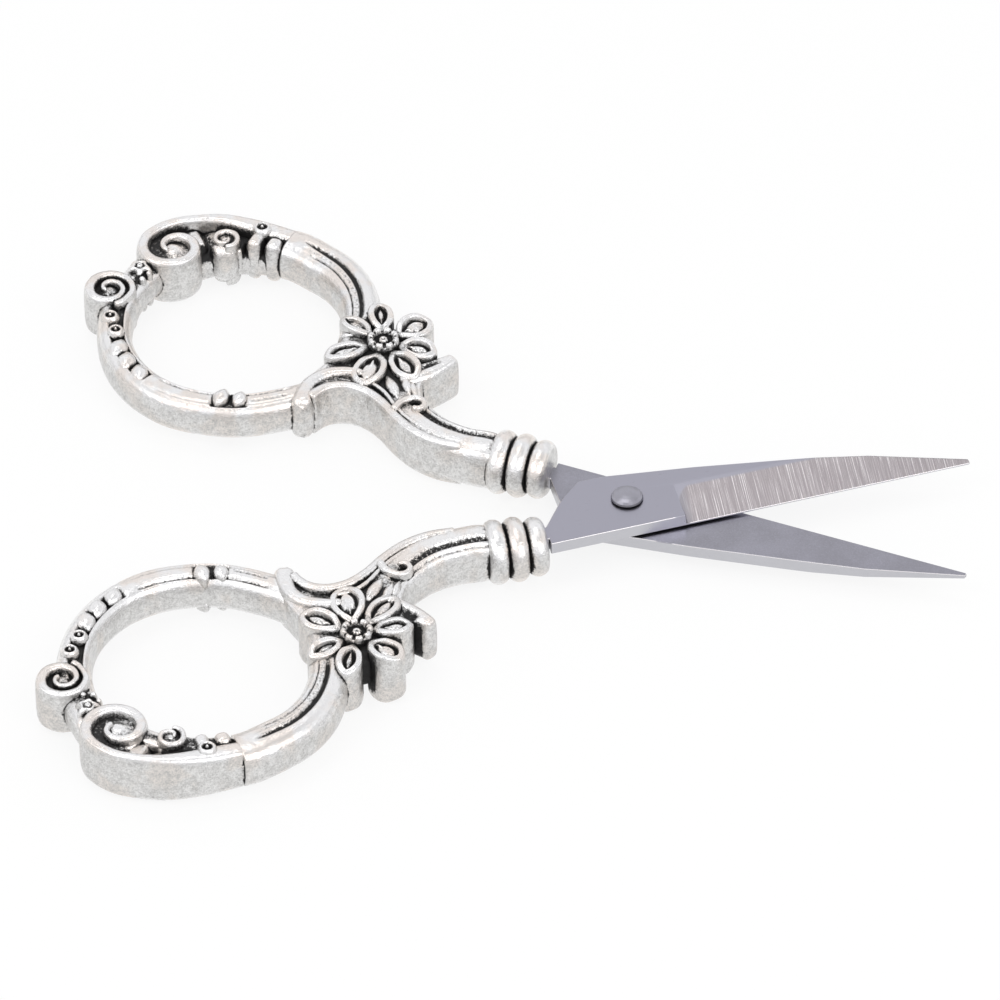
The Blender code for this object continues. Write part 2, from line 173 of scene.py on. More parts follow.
OUTER_BAND = (
    (-41.0, 14.1, 1.4), (-44.0, 13.85, 2.1), (-46.6, 12.7, 2.4), (-48.1, 10.5, 2.6), (-48.4, 8.2, 2.9),
    (-48.1, 5.9, 3.2), (-47.9, 5.0, 3.0),
)
HORN = (
    (-37.2, 14.2, 4.0), (-34.8, 16.2, 3.9), (-32.9, 18.2, 3.5), (-31.5, 19.9, 2.7), (-30.7, 21.2, 2.0),
)

FLOWER = (-41.1, 21.0)
# Petals: the way each points in degrees, its length and its width.
PETALS = (
    (52.5, 8.1, 4.6), (111, 8.5, 3.6), (155, 7.9, 3.3), (218.5, 8.7, 4.0), (269.5, 9.8, 4.8),
    (316.5, 9.2, 4.1), (357.5, 7.8, 4.0),
)

# The studio. Lamps: name, place and width in metres, and power. What mirrors see: height and brightness.
WHITE = (1, 1, 1, 1)
LAMPS = (
    ("lamp_left", (-0.55, -0.35, 0.75), 0.5, 1.1), ("lamp_right", (0.6, -0.45, 0.55), 0.4, 0.55),
    ("lamp_top", (-0.1, 0.25, 1.0), 0.5, 0.9), ("lamp_front", (0.34, -0.54, 0.76), 0.5, 0.9),
)
CEILING = (
    (0.0, 1.0), (0.04, 0.9), (0.1, 0.3), (0.17, 0.3), (0.27, 0.95), (0.5, 0.95), (0.68, 0.84),
    (0.85, 0.68), (1.0, 0.58),
)

# The camera: degrees above the table, turn and roll in radians, distance, and the point it looks at.
CAMERA_RISE, CAMERA_TURN, CAMERA_ROLL = 40.5, 0.0592, 0.01351
CAMERA_DISTANCE, CAMERA_AIM = 1500.0, (-17.15389, 2.45)
FOCAL_PIXELS, PICTURE_PIXELS, SENSOR_WIDTH = 11085.0, 1000.0, 36.0


def size(name):
    """A size from the sidebar, in millimetres."""
    return getattr(bpy.context.scene.scissors_shape, name) / MM


def all_sizes():
    """Every size, as the key under which finished shapes are kept."""
    return tuple(round(size(name), 4) for name in ScissorsShape.__annotations__)


# Curves and surfaces


def turned(points, degrees, centre=(0, 0)):
    """Flat points turned about a centre."""
    a = math.radians(degrees)
    p = np.asarray(points, float)
    out = p.copy()
    x, y = p[..., 0] - centre[0], p[..., 1] - centre[1]
    out[..., 0] = centre[0] + x * math.cos(a) - y * math.sin(a)
    out[..., 1] = centre[1] + x * math.sin(a) + y * math.cos(a)
    return out


def polar(centre, table):
    """Points given by angle in degrees and radius about a centre."""
    a, r = np.radians([t[0] for t in table]), np.array([t[1] for t in table], float)
    return np.stack([centre[0] + r * np.cos(a), centre[1] + r * np.sin(a)], 1)


def smoothstep(low, high, x):
    """0 below low, 1 above high, and 3t^2 - 2t^3 between them."""
    t = np.clip((np.asarray(x, float) - low) / (high - low), 0, 1)
    return t * t * (3 - 2 * t)


def length_along(points, power=1.0):
    """The way gone at each point of a line, with every step raised to a power."""
    return np.concatenate([[0], np.cumsum(np.linalg.norm(np.diff(points, axis=0), axis=1) ** power)])


def curve_through(points, step, closed=False):
    """A centripetal Catmull-Rom curve through the points, read off at equal steps of its length.
    The first two columns are the place, and any others, such as a width, run along with them."""
    p = np.asarray(points, float)
    if closed:
        p = np.vstack([p[-1:], p, p[:2]])
    else:
        p = np.vstack([2 * p[:1] - p[1:2], p, 2 * p[-1:] - p[-2:-1]])
    knots = length_along(p[:, :2], 0.5)
    t = np.linspace(knots[1], knots[-2], 40 * len(p))
    i = np.clip(np.searchsorted(knots, t, side="right") - 1, 1, len(knots) - 3)
    k = [knots[i + d][:, None] for d in (-1, 0, 1, 2)]
    q = [p[i + d] for d in (-1, 0, 1, 2)]
    t = t[:, None]

    def between(low, high, a, b):
        return ((high - t) * a + (t - low) * b) / (high - low)

    a = [between(k[j], k[j + 1], q[j], q[j + 1]) for j in range(3)]
    b = [between(k[j], k[j + 2], a[j], a[j + 1]) for j in range(2)]
    fine = between(k[1], k[2], b[0], b[1])
    run = length_along(fine[:, :2])
    count = max(4, int(round(run[-1] / step)))
    want = np.linspace(0, run[-1], count, endpoint=not closed)
    return np.stack([np.interp(want, run, column) for column in fine.T], 1)


def section(squareness, around, aspect):
    """Points of a superellipse |n|^p + |z|^p = 1, evenly spaced once it is aspect times as wide as high."""
    a = np.linspace(0, 2 * np.pi, 4001)
    n = np.sign(np.cos(a)) * np.abs(np.cos(a)) ** (2 / squareness)
    z = np.sign(np.sin(a)) * np.abs(np.sin(a)) ** (2 / squareness)
    run = np.concatenate([[0], np.cumsum(np.hypot(np.diff(n) * aspect, np.diff(z)))])
    want = np.linspace(0, run[-1], around, endpoint=False)
    return np.interp(want, run, n), np.interp(want, run, z)


class Skin:
    """A closed surface: its points, its four-sided and three-sided faces, and how sooty each point is."""

    def __init__(self, points, quads, tris, soot=None):
        self.points = np.asarray(points, float)
        self.quads = np.asarray(quads, int).reshape(-1, 4)
        self.tris = np.asarray(tris, int).reshape(-1, 3)
        self.soot = np.zeros(len(self.points)) if soot is None else np.asarray(soot, float)
        self.face_outwards()

    def face_outwards(self):
        """Turns every face round if the volume, summed over the faces, comes out negative."""
        p = self.points - self.points.mean(0)
        t = np.vstack([self.quads[:, :3], self.quads[:, [0, 2, 3]], self.tris])
        if np.einsum("ij,ij->", p[t[:, 0]], np.cross(p[t[:, 1]], p[t[:, 2]])) < 0:
            self.quads, self.tris = self.quads[:, ::-1], self.tris[:, ::-1]


def skin(grid, loop=False, soot=None):
    """The surface of a grid of points, closed round its columns. Its rows close into a loop,
    or each end row closes on its own middle point."""
    rows, columns = grid.shape[:2]
    index = np.arange(rows * columns).reshape(rows, columns)
    here = index if loop else index[:-1]
    there = np.roll(index, -1, 0) if loop else index[1:]
    quads = np.stack([here, np.roll(here, -1, 1), np.roll(there, -1, 1), there], -1).reshape(-1, 4)
    points, tris = grid.reshape(-1, 3), np.zeros((0, 3), int)
    soot = None if soot is None else np.broadcast_to(soot, (rows, columns)).reshape(-1)
    if not loop:
        first, last = rows * columns, rows * columns + 1
        points = np.vstack([points, grid[0].mean(0), grid[-1].mean(0)])
        start = np.stack([np.roll(index[0], -1), index[0], np.full(columns, first)], 1)
        stop = np.stack([index[-1], np.roll(index[-1], -1), np.full(columns, last)], 1)
        tris = np.vstack([start, stop])
        if soot is not None:
            soot = np.concatenate([soot, [soot[:columns].mean(), soot[-columns:].mean()]])
    return Skin(points, quads, tris, soot)


def mirrored(s):
    """The same surface on the other face of the casting."""
    return Skin(s.points * (1, 1, -1), s.quads[:, ::-1], s.tris[:, ::-1], s.soot)


def both_faces(skins):
    """Surfaces of the upper face, and the same on the lower face."""
    return list(skins) + [mirrored(s) for s in skins]


def bar(path, half_height, squareness=2.6, around=40, closed=False, relief=None, ends=0.0, middle=0.0):
    """A bar along a flat path: the superellipse section, as wide as the path's third column says and twice
    half_height high, is set square to the path. relief(x, y, n, place) gives how far the top and the bottom
    face sink at a place across (n from -1 to 1, the left side is 1) and along the path in millimetres.
    ends is the length over which an open end draws in to a rounded tip."""
    xy, width = path[:, :2], path[:, 2]
    step = np.roll(xy, -1, 0) - np.roll(xy, 1, 0) if closed else np.gradient(xy, axis=0)
    step /= np.linalg.norm(step, axis=1)[:, None]
    left = np.stack([-step[:, 1], step[:, 0]], 1)
    half = path[:, 3] if half_height is None else np.broadcast_to(np.asarray(half_height, float), width.shape)
    place = length_along(xy)
    if ends:
        near = np.clip(np.minimum(place, place[-1] - place) / ends, 0, 1)
        draw = np.sqrt(np.clip(1 - (1 - near) ** 2, 0.003, 1))
        width, half = width * draw, half * (0.35 + 0.65 * draw)
    n, z = section(squareness, around, float(width.mean() / (2 * half.mean())))
    across = (width / 2)[:, None] * n
    high = half[:, None] * z
    x = xy[:, :1] + left[:, :1] * across
    y = xy[:, 1:] + left[:, 1:] * across
    soot = None
    if relief:
        sink = relief(x, y, np.broadcast_to(n, x.shape), np.broadcast_to(place[:, None], x.shape))
        facing = smoothstep(0.45, 0.85, np.abs(z))
        high = high - np.sign(z) * sink * facing
        soot = np.clip(sink * facing * 1.6, 0, 1)
    return skin(np.stack([x, y, high + middle], -1), loop=closed, soot=soot)


def strip(points, half_height, step=0.16, **more):
    """A bar on the curve through points with their widths."""
    return bar(curve_through(points, step), half_height, **more)


def column(outline, centre, top, rows=12, wall=9, edge=0.5, relief=None):
    """A block with one outline, alike above and below. From the middle of its top the surface runs straight
    out to the outline, rounds over the edge, goes down the wall and returns below. relief(share, x, y)
    gives the height added at a share of the way out."""
    out = np.asarray(outline, float) - centre
    rounded = edge / np.linalg.norm(out, axis=1).mean()
    share = np.linspace(1 / rows, 1, rows)
    near = np.clip((share - (1 - rounded)) / rounded, 0, 1)
    fall = edge * (1 - np.sqrt(1 - near**2 * 0.999))
    x = centre[0] + share[:, None] * out[:, 0]
    y = centre[1] + share[:, None] * out[:, 1]
    rise = relief(np.broadcast_to(share[:, None], x.shape), x, y) if relief else np.zeros(x.shape)
    high = top + rise - fall[:, None]
    low = high[-1]
    down = np.linspace(1, -1, wall + 2)[1:-1, None] * low
    z = np.vstack([high, down, -high[::-1]])
    x = np.vstack([x, np.repeat(x[-1:], wall, 0), x[::-1]])
    y = np.vstack([y, np.repeat(y[-1:], wall, 0), y[::-1]])
    return skin(np.stack([x, y, z], -1))


def full_turn(count):
    """Angles at equal steps over a whole turn."""
    return np.linspace(0, 2 * np.pi, count, endpoint=False)


def raised(x, y, z, foot):
    """The surface of a bead or a leaf, and below its rim a wall down to the foot."""
    z = np.vstack([np.broadcast_to(z, x.shape), np.full((1, x.shape[1]), foot)])
    return skin(np.stack([np.vstack([x, x[-1:]]), np.vstack([y, y[-1:]]), z], -1))


def dome(centre, radius, base, top, rows=9, around=26, lobes=0, depth=0.0, pit=0.0, pit_share=0.35):
    """A bead on the upper face: radius times sin a out and base to top up, as a runs over a quarter turn.
    lobes draw the outline in and out, and pit sinks its middle."""
    a, b = np.linspace(0.06, np.pi / 2, rows)[:, None], full_turn(around)[None]
    share = np.sin(a)
    reach = radius * share * (1 - depth * (0.5 - 0.5 * np.cos(lobes * b)) * share)
    sunk = pit * (1 - smoothstep(pit_share * 0.4, pit_share, share))
    z = base + (top - base) * np.cos(a) - sunk
    return raised(centre[0] + reach * np.cos(b), centre[1] + reach * np.sin(b), z, base - 1.2)


def knob(centre, radii, rows=20, around=32):
    """An ellipsoid: the sine and cosine of two angles times three radii."""
    a, b = np.linspace(0.05, np.pi - 0.05, rows)[:, None], full_turn(around)[None]
    way = np.stack([np.sin(a) * np.cos(b), np.sin(a) * np.sin(b), np.cos(a) + 0 * b], -1)
    return skin(np.array(centre) + way * radii)


def leaf(start, stop, width, base, top, rows=14, around=26):
    """A small almond leaf on the upper face between two points. Its outline is an ellipse drawn in
    towards both ends, and its height the cosine of a quarter turn."""
    start, stop = np.array(start, float), np.array(stop, float)
    a, b = np.linspace(0.06, np.pi / 2, rows)[:, None], full_turn(around)[None]
    along, side = np.cos(b), np.sin(b) * (1 - 0.45 * np.cos(b) ** 2)
    mid, axis = (start + stop) / 2, (stop - start) / 2
    across = np.array([-axis[1], axis[0]]) / np.linalg.norm(axis) * width / 2
    x, y = (mid[i] + np.sin(a) * (along * axis[i] + side * across[i]) for i in (0, 1))
    return raised(x, y, base + (top - base) * np.cos(a), base - 1.0)


# The shapes of one half, in the frame of the drawn half


def ring_angle(x, y):
    """Degrees round the finger ring's middle, 0 towards the pivot and 90 away from the X axis."""
    return np.degrees(np.arctan2(y - RING_MIDDLE[1], x - RING_MIDDLE[0]))


def groove(n, at, width, depth):
    """A rounded groove, depth times exp(-((n - at) / width)^2)."""
    return depth * np.exp(-(((n - at) / width) ** 2))


def window(low, high, edge, x):
    """1 between low and high, and 0 outside them, over a soft edge."""
    return smoothstep(low, low + edge, x) * (1 - smoothstep(high - edge, high, x))


def ring_relief(x, y, n, place):
    """Grooves of the ring, with n = 1 outside: two that taper along the smooth upper bow, a lip along the
    inside of the lower bow, a broad channel under the leaves, and dashes beside the nub."""
    a = ring_angle(x, y)
    taper = smoothstep(78, 60, a)
    upper = window(8, 80, 10, a)
    main = groove(n, 0.02 + 0.0016 * (a - 40), 0.05 + 0.07 * taper, size("groove_depth"))
    fine = groove(n, -0.26, 0.04, 0.35) + groove(n, -0.44, 0.05, 0.55) * taper
    lower = window(-113, -46, 6, a)
    lip = groove(n, -0.46, 0.075, 0.6) + groove(n, 0.34, 0.05, 0.15)
    left = np.clip(window(-184, -116, 3, a) + window(170, 190, 3, a), 0, 1)
    channel = size("leaf_channel") * smoothstep(-0.54, -0.46, n) * smoothstep(0.42, 0.1, n)
    nub = 0.6 * window(-85, -68, 2.5, a) * smoothstep(-0.6, -0.5, n) * smoothstep(0.55, 0.45, n)
    dashes = window(-68, -50, 3, a) * groove(n, 0.12, 0.07, 0.4) * smoothstep(-0.3, 0.5, np.cos(a * 7.0))
    return upper * (main + fine) + lower * (lip + dashes) + left * channel + nub


def ring_shapes():
    """The finger ring: one bar on a closed path, lower where the scrolls stand on it, and the ledge that
    joins the pillars at half height."""
    path = curve_through(RING, 0.17, closed=True)
    a = ring_angle(path[:, 0], path[:, 1])
    half = size("ring_height") / 2 - 1.2 * window(84, 125, 3, a) - 0.8 * window(118, 156, 6, a)
    half = half - 0.45 * window(150, 181, 4, a)
    ledge = strip(LEDGE, 1.75, 0.2, squareness=5.0, around=50, ends=1.0, middle=-0.75)
    return [bar(path, half, squareness=2.7, around=92, closed=True, relief=ring_relief), ledge]


def bow_shapes():
    """The smooth upper bow of the ring, whose square end stands a little proud of the scroll work."""
    return [strip(BOW, 3.2, 0.17, squareness=2.7, around=92, relief=ring_relief)]


def winding(centre, turn):
    """Places and widths along a wall that winds about a centre, from a table of angle, radius and width."""
    table = np.array(turn, float)
    return np.column_stack([polar(centre, table[:, :2]), table[:, 2]])


def scroll_shapes():
    """The outer band that winds into the big curl, the small curl below it and the third curl beside it,
    each with a floor that swells in the middle."""
    fall = 3.6 - 0.2 * np.linspace(0, 1, len(BIG_TURN))
    big = np.vstack([BAND, np.column_stack([winding(BIG_CURL, BIG_TURN), fall])])
    shapes = [
        strip(big, None, squareness=3.9, around=56, ends=0.6),
        strip(winding(SMALL_CURL, SMALL_TURN), 3.4, squareness=4.6, around=44, ends=0.4),
        strip(winding(THIRD_CURL, THIRD_TURN), 3.65, squareness=4.6, around=40, ends=0.3),
    ]

    def swell(share, x, y):
        return 0.55 * (1 - smoothstep(0.1, 0.5, share))

    for centre, radius, top in ((BIG_CURL, 3.9, 2.4), (SMALL_CURL, 3.1, 2.3), (THIRD_CURL, 1.75, 2.8)):
        outline = polar(centre, [(a, radius) for a in range(0, 360, 6)])
        shapes.append(column(outline, centre, top, rows=16, relief=swell))
    return shapes


def eye_bead(centre, radius, base, top):
    """A bead with a ring-shaped groove round a small raised middle."""
    return [
        dome(centre, radius, base, top, pit=(top - base) * 0.75, pit_share=0.62, rows=14),
        dome(centre, radius * 0.24, base, top - 0.15, around=14),
    ]


def lobe_shapes():
    """Rounded pillars along the inside of the ring, with beads, a rosette and leaves."""
    shapes = []
    for outer, inner, width, half in PILLARS:
        middle = np.add(outer, inner) / 2
        points = [(*place, width) for place in (outer, middle, inner)]
        shapes.append(strip(points, half, 0.12, squareness=3.0, around=60, ends=width * 0.45))
    bead = size("bead_radius")
    tops = [
        *eye_bead((-64.6, 39.6), bead * 1.07, 2.7, 4.2),
        dome(ROSETTE, 1.95, 1.7, 3.5, lobes=5, depth=0.38, pit=0.8, pit_share=0.5, around=60, rows=14),
        dome(ROSETTE, 0.6, 2.2, 3.45, pit=0.3),
        *[dome(*row) for row in SMALL_BEADS],
        *eye_bead((-79.0, 16.1), bead, 2.2, 3.6),
        *eye_bead((-77.3, 13.4), bead * 0.96, 2.2, 3.6),
        *[leaf(*row) for row in RING_LEAVES],
    ]
    shapes.append(knob((-57.8, 2.7, 0.0), (1.8, 1.7, 2.2)))
    return shapes + both_faces(tops)


def neck_relief(x, y, n, place):
    """A channel along the top of the neck, with a row of fine beads in it, and a fine line beside it."""
    along = smoothstep(6.5, 7.5, place)
    beads = 0.38 * np.maximum(0, np.cos(2 * np.pi * place / 0.8)) * np.exp(-(((n + 0.30) / 0.08) ** 2))
    fade = along * (1 - smoothstep(22, 25, place))
    channel = 0.75 * smoothstep(0.2, 0.13, np.abs(n + 0.30))
    return fade * (channel - beads * window(7.5, 20, 1, place)) + along * groove(n, -0.66, 0.05, 0.4)


def neck_shapes():
    """The neck that carries the collars: a bar on a bent path, with a beaded channel."""
    return [strip(NECK, None, 0.15, squareness=2.9, around=96, relief=neck_relief)]


def collar_shapes():
    """Three rolled collars: each is nearly a half circle in section, carried round the neck's axis, and
    its two flat sides run in to the neck's core."""
    bulge, core, around = size("collar_bulge"), 0.8, 96
    a, b = np.linspace(0, np.pi, 26), full_turn(around)
    shapes = []
    for x0, radius in zip(COLLAR_XS, COLLAR_RADII):
        x = x0 - bulge * np.cos(a)
        r = radius - bulge * (1 - np.sin(a)) * 0.92
        x = np.concatenate([x[:1], x, x[-1:]])
        r = np.concatenate([[core], r, [core]])[:, None]
        y, z = COLLAR_AXIS_Y + r * np.cos(b), COLLAR_FLATTENING * r * np.sin(b)
        shapes.append(skin(np.stack([np.repeat(x[:, None], around, 1), y, z], -1)))
    return shapes


def horn_relief(x, y, n, place):
    """A hollow along the horn, between a broad crest on its outer side and a thin one."""
    return 0.9 * smoothstep(-0.1, 0.15, n) * smoothstep(0.85, 0.6, n) * (1 - smoothstep(6.0, 7.5, place))


def body_shapes():
    """The web below the flower, ruled between the bay and the back, with its bands, curl and horn."""
    bay, back = np.array(BODY_BAY), np.array(BODY_BACK)
    both = curve_through(np.column_stack([(bay + back) / 2, bay, back]), 0.2)
    bay, back = both[:, 2:4], both[:, 4:6]
    n, z = section(5.0, 110, 2.2)
    mid, half = (bay + back) / 2, (bay - back) / 2
    x, y = (mid[:, i, None] + half[:, i, None] * n for i in (0, 1))
    curl = curve_through(polar(NECK_CURL, NECK_TURN), 0.16)
    curl = np.column_stack([curl, np.linspace(1.3, 0.85, len(curl))])
    tops = [
        bar(curl, 0.9, squareness=2.6, around=30, ends=0.4, middle=2.95),
        strip(FILLET, 0.7, squareness=2.6, around=20, ends=0.5, middle=2.7),
        *[leaf(*row) for row in WEB_LEAVES],
    ]
    return [
        skin(np.stack([x, y, np.repeat(2.75 * z[None], len(mid), 0)], -1)),
        strip(BAY_BAND, 3.5, squareness=3.9, around=46, ends=0.5),
        strip(OUTER_BAND, 3.5, squareness=3.4, around=50, ends=1.5),
        strip(HORN, 3.4, 0.18, squareness=3.6, around=80, relief=horn_relief, ends=0.9),
        *both_faces(tops),
    ]


def petal_outline(angle, length, width, count=96):
    """A petal seen from above: narrow at the cup, widest at two thirds and blunt at its tip."""
    b = full_turn(count)
    along = 0.5 - 0.5 * np.cos(b)
    side = np.sign(np.sin(b)) * width / 2 * np.sin(np.pi * along**1.5) ** 0.55 * smoothstep(-0.05, 0.4, along)
    reach = 0.9 + along * (length - 0.9)
    return turned(np.stack([FLOWER[0] + reach, FLOWER[1] + side], 1), angle, FLOWER)


def petal_shapes():
    """Seven petals, full height like the casting. By the distance from the outline the height falls from a
    plump rolled rim into a groove and rises again to a low mound, and a rib runs out from the cup."""
    shapes = []
    top, rim, depth = size("petal_height"), size("petal_rim"), size("petal_depth")
    for angle, length, width in PETALS:
        outline = petal_outline(angle, length, width)
        centre = turned((FLOWER[0] + length * 0.62, FLOWER[1]), angle, FLOWER)
        axis = turned((1.0, 0.0), angle)

        def relief(share, x, y, axis=axis, length=length, outline=outline):
            along = ((x - FLOWER[0]) * axis[0] + (y - FLOWER[1]) * axis[1]) / length
            across = -(x - FLOWER[0]) * axis[1] + (y - FLOWER[1]) * axis[0]
            inside = np.hypot(x[..., None] - outline[:, 0], y[..., None] - outline[:, 1]).min(-1)
            foot, tip = 1 - smoothstep(0.1, 0.5, along), smoothstep(0.8, 1.0, along)
            sunk = smoothstep(rim, rim + 0.35, inside)
            mound = 0.6 * smoothstep(rim + 0.3, rim + 0.85, inside) * smoothstep(0.35, 0.6, along)
            ribs = 0.5 * np.cos(np.pi * across / 1.1) ** 4 * (1 - smoothstep(0.45, 0.6, along))
            return 0.14 * across - 0.8 * foot - 0.35 * tip - depth * (1 - mound - ribs) * sunk

        shapes.append(column(outline, centre, top, rows=26, wall=10, edge=0.45, relief=relief))
    return shapes


def cup_shapes():
    """The flower's middle: a rolled crown of eight lumps round a moat, and a small button with a pit."""
    b = np.linspace(0, 360, 128, endpoint=False)
    lumps = 1 - 0.09 * (0.5 - 0.5 * np.cos(np.radians(b) * 8))
    outline = polar(FLOWER, list(zip(b, size("cup_radius") * lumps)))

    def relief(share, x, y):
        a = np.arctan2(y - FLOWER[1], x - FLOWER[0])
        crown = np.sqrt(np.clip(1 - ((share - 0.8) / 0.24) ** 2, 0, 1))
        crown = crown * (1 - 0.5 * smoothstep(0.2, 0.95, -np.cos(8 * a)))
        button = np.sqrt(np.clip(1 - (share / 0.34) ** 2, 0, 1)) * 0.75
        pit = 0.4 * (1 - smoothstep(0.08, 0.17, share))
        return 1.15 * np.maximum(crown, button) - 1.15 - pit

    return [column(outline, np.array(FLOWER), size("cup_height"), rows=30, wall=9, edge=0.2, relief=relief)]


GROUPS = {
    "ring": (ring_shapes, bow_shapes),
    "scrolls": (scroll_shapes,),
    "ornament": (lobe_shapes,),
    "neck": (neck_shapes, collar_shapes),
    "body": (body_shapes,),
    "flower": (petal_shapes, cup_shapes),
}


@functools.lru_cache(2)
def casting(key):
    """Every surface of one handle, by group. The key is what all_sizes() gives."""
    return {name: [s for make in makes for s in make()] for name, makes in GROUPS.items()}


# Where the casting is shut in, which is where the black finish stays

# Maps of one half: the cells of a coarse and a fine one, their lowest corner, and the coarse cells each way.
CELL = 0.2
FINE_CELL = 0.125
MAP_LOW = np.array([-87.0, -2.0, -5.0])
MAP_SIZE = (390, 240, 50)
# The way to a cell's neighbours.
SIDES = ((1, 0), (-1, 0), (0, 1), (0, -1))
CORNERS = ((1, 1), (-1, 1), (1, -1), (-1, -1))


def cell_of(places, cell, shape):
    """The columns and rows of a flat map in which points lie."""
    at = np.clip(((places[:, :2] - MAP_LOW[:2]) / cell).astype(int), 0, np.array(shape) - 1)
    return at[:, 0], at[:, 1]


def shifted(field, steps):
    """A flat map moved by one cell each way that is named in steps."""
    return [np.roll(field, step, (0, 1)) for step in steps]


def height_map(places, heights, cell, shape):
    """The greatest height in each cell, and in an empty cell between full ones that of its neighbours."""
    height = np.zeros(shape)
    np.maximum.at(height, cell_of(places, cell, shape), heights)
    around = np.stack(shifted(height, SIDES))
    return np.where((height == 0) & ((around > 0).sum(0) >= 3), around.max(0), height)


def box_blur(field, radius, axis):
    """The mean over 2 radius + 1 cells along one axis, by differences of a running sum."""
    pad = [(0, 0)] * 3
    pad[axis] = (radius + 1, radius)
    run = np.cumsum(np.pad(field, pad), axis=axis)
    count, reach = field.shape[axis], 2 * radius + 1
    high = np.take(run, range(reach, reach + count), axis=axis)
    low = np.take(run, range(count), axis=axis)
    return (high - low) / reach


@functools.lru_cache(4)
def fullness(key, radius):
    """The share of metal round each cell: the casting fills every cell between its upper and lower face."""
    points = np.vstack([s.points for group in casting(key).values() for s in group])
    height = height_map(points, np.abs(points[:, 2]), CELL, MAP_SIZE[:2])
    level = MAP_LOW[2] + CELL * (np.arange(MAP_SIZE[2]) + 0.5)
    solid = (np.abs(level) <= height[:, :, None]).astype(float)
    for _ in range(2):
        for axis in range(3):
            solid = box_blur(solid, radius, axis)
    return solid


def spread(field, steps, pick):
    """The largest (or smallest) value within so many cells, by turns over four and eight neighbours."""
    for step in range(steps):
        field = pick.reduce([field, *shifted(field, SIDES + CORNERS if step % 2 else SIDES)])
    return field


@functools.lru_cache(2)
def upper_face(key):
    """The height of the casting's upper face on a fine map, from the points and the middles of its faces."""
    samples = []
    for s in (s for group in casting(key).values() for s in group):
        corners = s.points[s.quads]
        samples += [s.points, corners.mean(1), corners[:, :2].mean(1), corners[:, 1:3].mean(1)]
    samples = np.vstack(samples)
    cells = (np.array(MAP_SIZE[:2]) * CELL / FINE_CELL).astype(int)
    return height_map(samples, samples[:, 2], FINE_CELL, cells)


@functools.lru_cache(4)
def bridged(key, steps):
    """The upper face with every hollow narrower than twice the steps filled up to its banks."""
    return spread(spread(upper_face(key), steps, np.maximum), steps, np.minimum)


def sunken(key, points, normals, steps):
    """How far each point lies below the bridged face over the space in front of it."""
    face = bridged(key, steps)
    front = points + normals * 0.3
    return np.clip(face[cell_of(front, FINE_CELL, face.shape)] - np.abs(points[:, 2]), 0, None)


def shut_in(key, points, normals, radius, lift):
    """Fullness read a little above each point of the surface: about a half where it is flat."""
    at = (points + normals * lift - MAP_LOW) / CELL - 0.5
    base = np.clip(np.floor(at).astype(int), 0, np.array(MAP_SIZE) - 2)
    part = np.clip(at - base, 0, 1)
    field, total = fullness(key, radius), 0
    for corner in np.ndindex(2, 2, 2):
        weight = np.prod(np.where(corner, part, 1 - part), axis=1)
        i = base + corner
        total = total + weight * field[i[:, 0], i[:, 1], i[:, 2]]
    return total


# Meshes


def placed(points, half):
    """Points of the drawn half set where the far or the near half lies open, in metres.
    The near half is the same casting turned over about the X axis."""
    p = np.asarray(points, float)
    if half == "near":
        p = p * (1, -1, -1)
    return (turned(p, TURN[half]) + PIVOT) * MM


def join(skins):
    """One array of points, one list of faces and one of soot for several surfaces."""
    points = np.vstack([s.points for s in skins])
    start = np.cumsum([0] + [len(s.points) for s in skins[:-1]])
    quads = np.vstack([s.quads + o for s, o in zip(skins, start)])
    tris = np.vstack([s.tris + o for s, o in zip(skins, start)])
    return points, quads, tris, np.concatenate([s.soot for s in skins])


def add_object(name, data):
    """A new object in the scene. One of the same name is taken away first."""
    if name in bpy.data.objects:
        bpy.data.objects.remove(bpy.data.objects[name])
    obj = bpy.data.objects.new(name, data)
    bpy.context.scene.collection.objects.link(obj)
    return obj


def make_object(name, points, quads, tris, smooth=True):
    """A named mesh object whose place is in its vertices."""
    mesh = bpy.data.meshes.new(name)
    mesh.from_pydata(points.tolist(), [], quads.tolist() + tris.tolist())
    mesh.polygons.foreach_set("use_smooth", np.full(len(mesh.polygons), smooth))
    mesh.update()
    return add_object(name, mesh)


def cast_piece(name, half, group):
    """One group of the casting as a piece that rides on its half, with its patina in attributes. crease
    is read 0.15 mm above the surface, and hollow is 1 at a point 0.4 mm below the banks of a narrow hollow
    or 1.1 mm below those of a wide one."""
    key = all_sizes()
    points, quads, tris, soot = join(casting(key)[group])
    obj = make_object(name, placed(points, half), quads, tris)
    mesh = obj.data
    normals = np.zeros(len(points) * 3)
    mesh.vertices.foreach_get("normal", normals)
    normals = normals.reshape(-1, 3)
    back = turned(normals, -TURN[half])
    if half == "near":
        back = back * (1, -1, -1)
    crease = shut_in(key, points, back, 2, 0.15)
    hollow = np.maximum(sunken(key, points, back, 4) / 0.4, sunken(key, points, back, 10) / 1.1)
    for label, value in (("crease", crease), ("hollow", np.clip(hollow, 0, 1.5)), ("soot", soot)):
        attribute = mesh.attributes.new(label, "FLOAT", "POINT")
        attribute.data.foreach_set("value", value.astype(np.float32))
    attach(obj, half + "_half")
    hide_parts(half + "_handle")
    return obj


# Shader maths


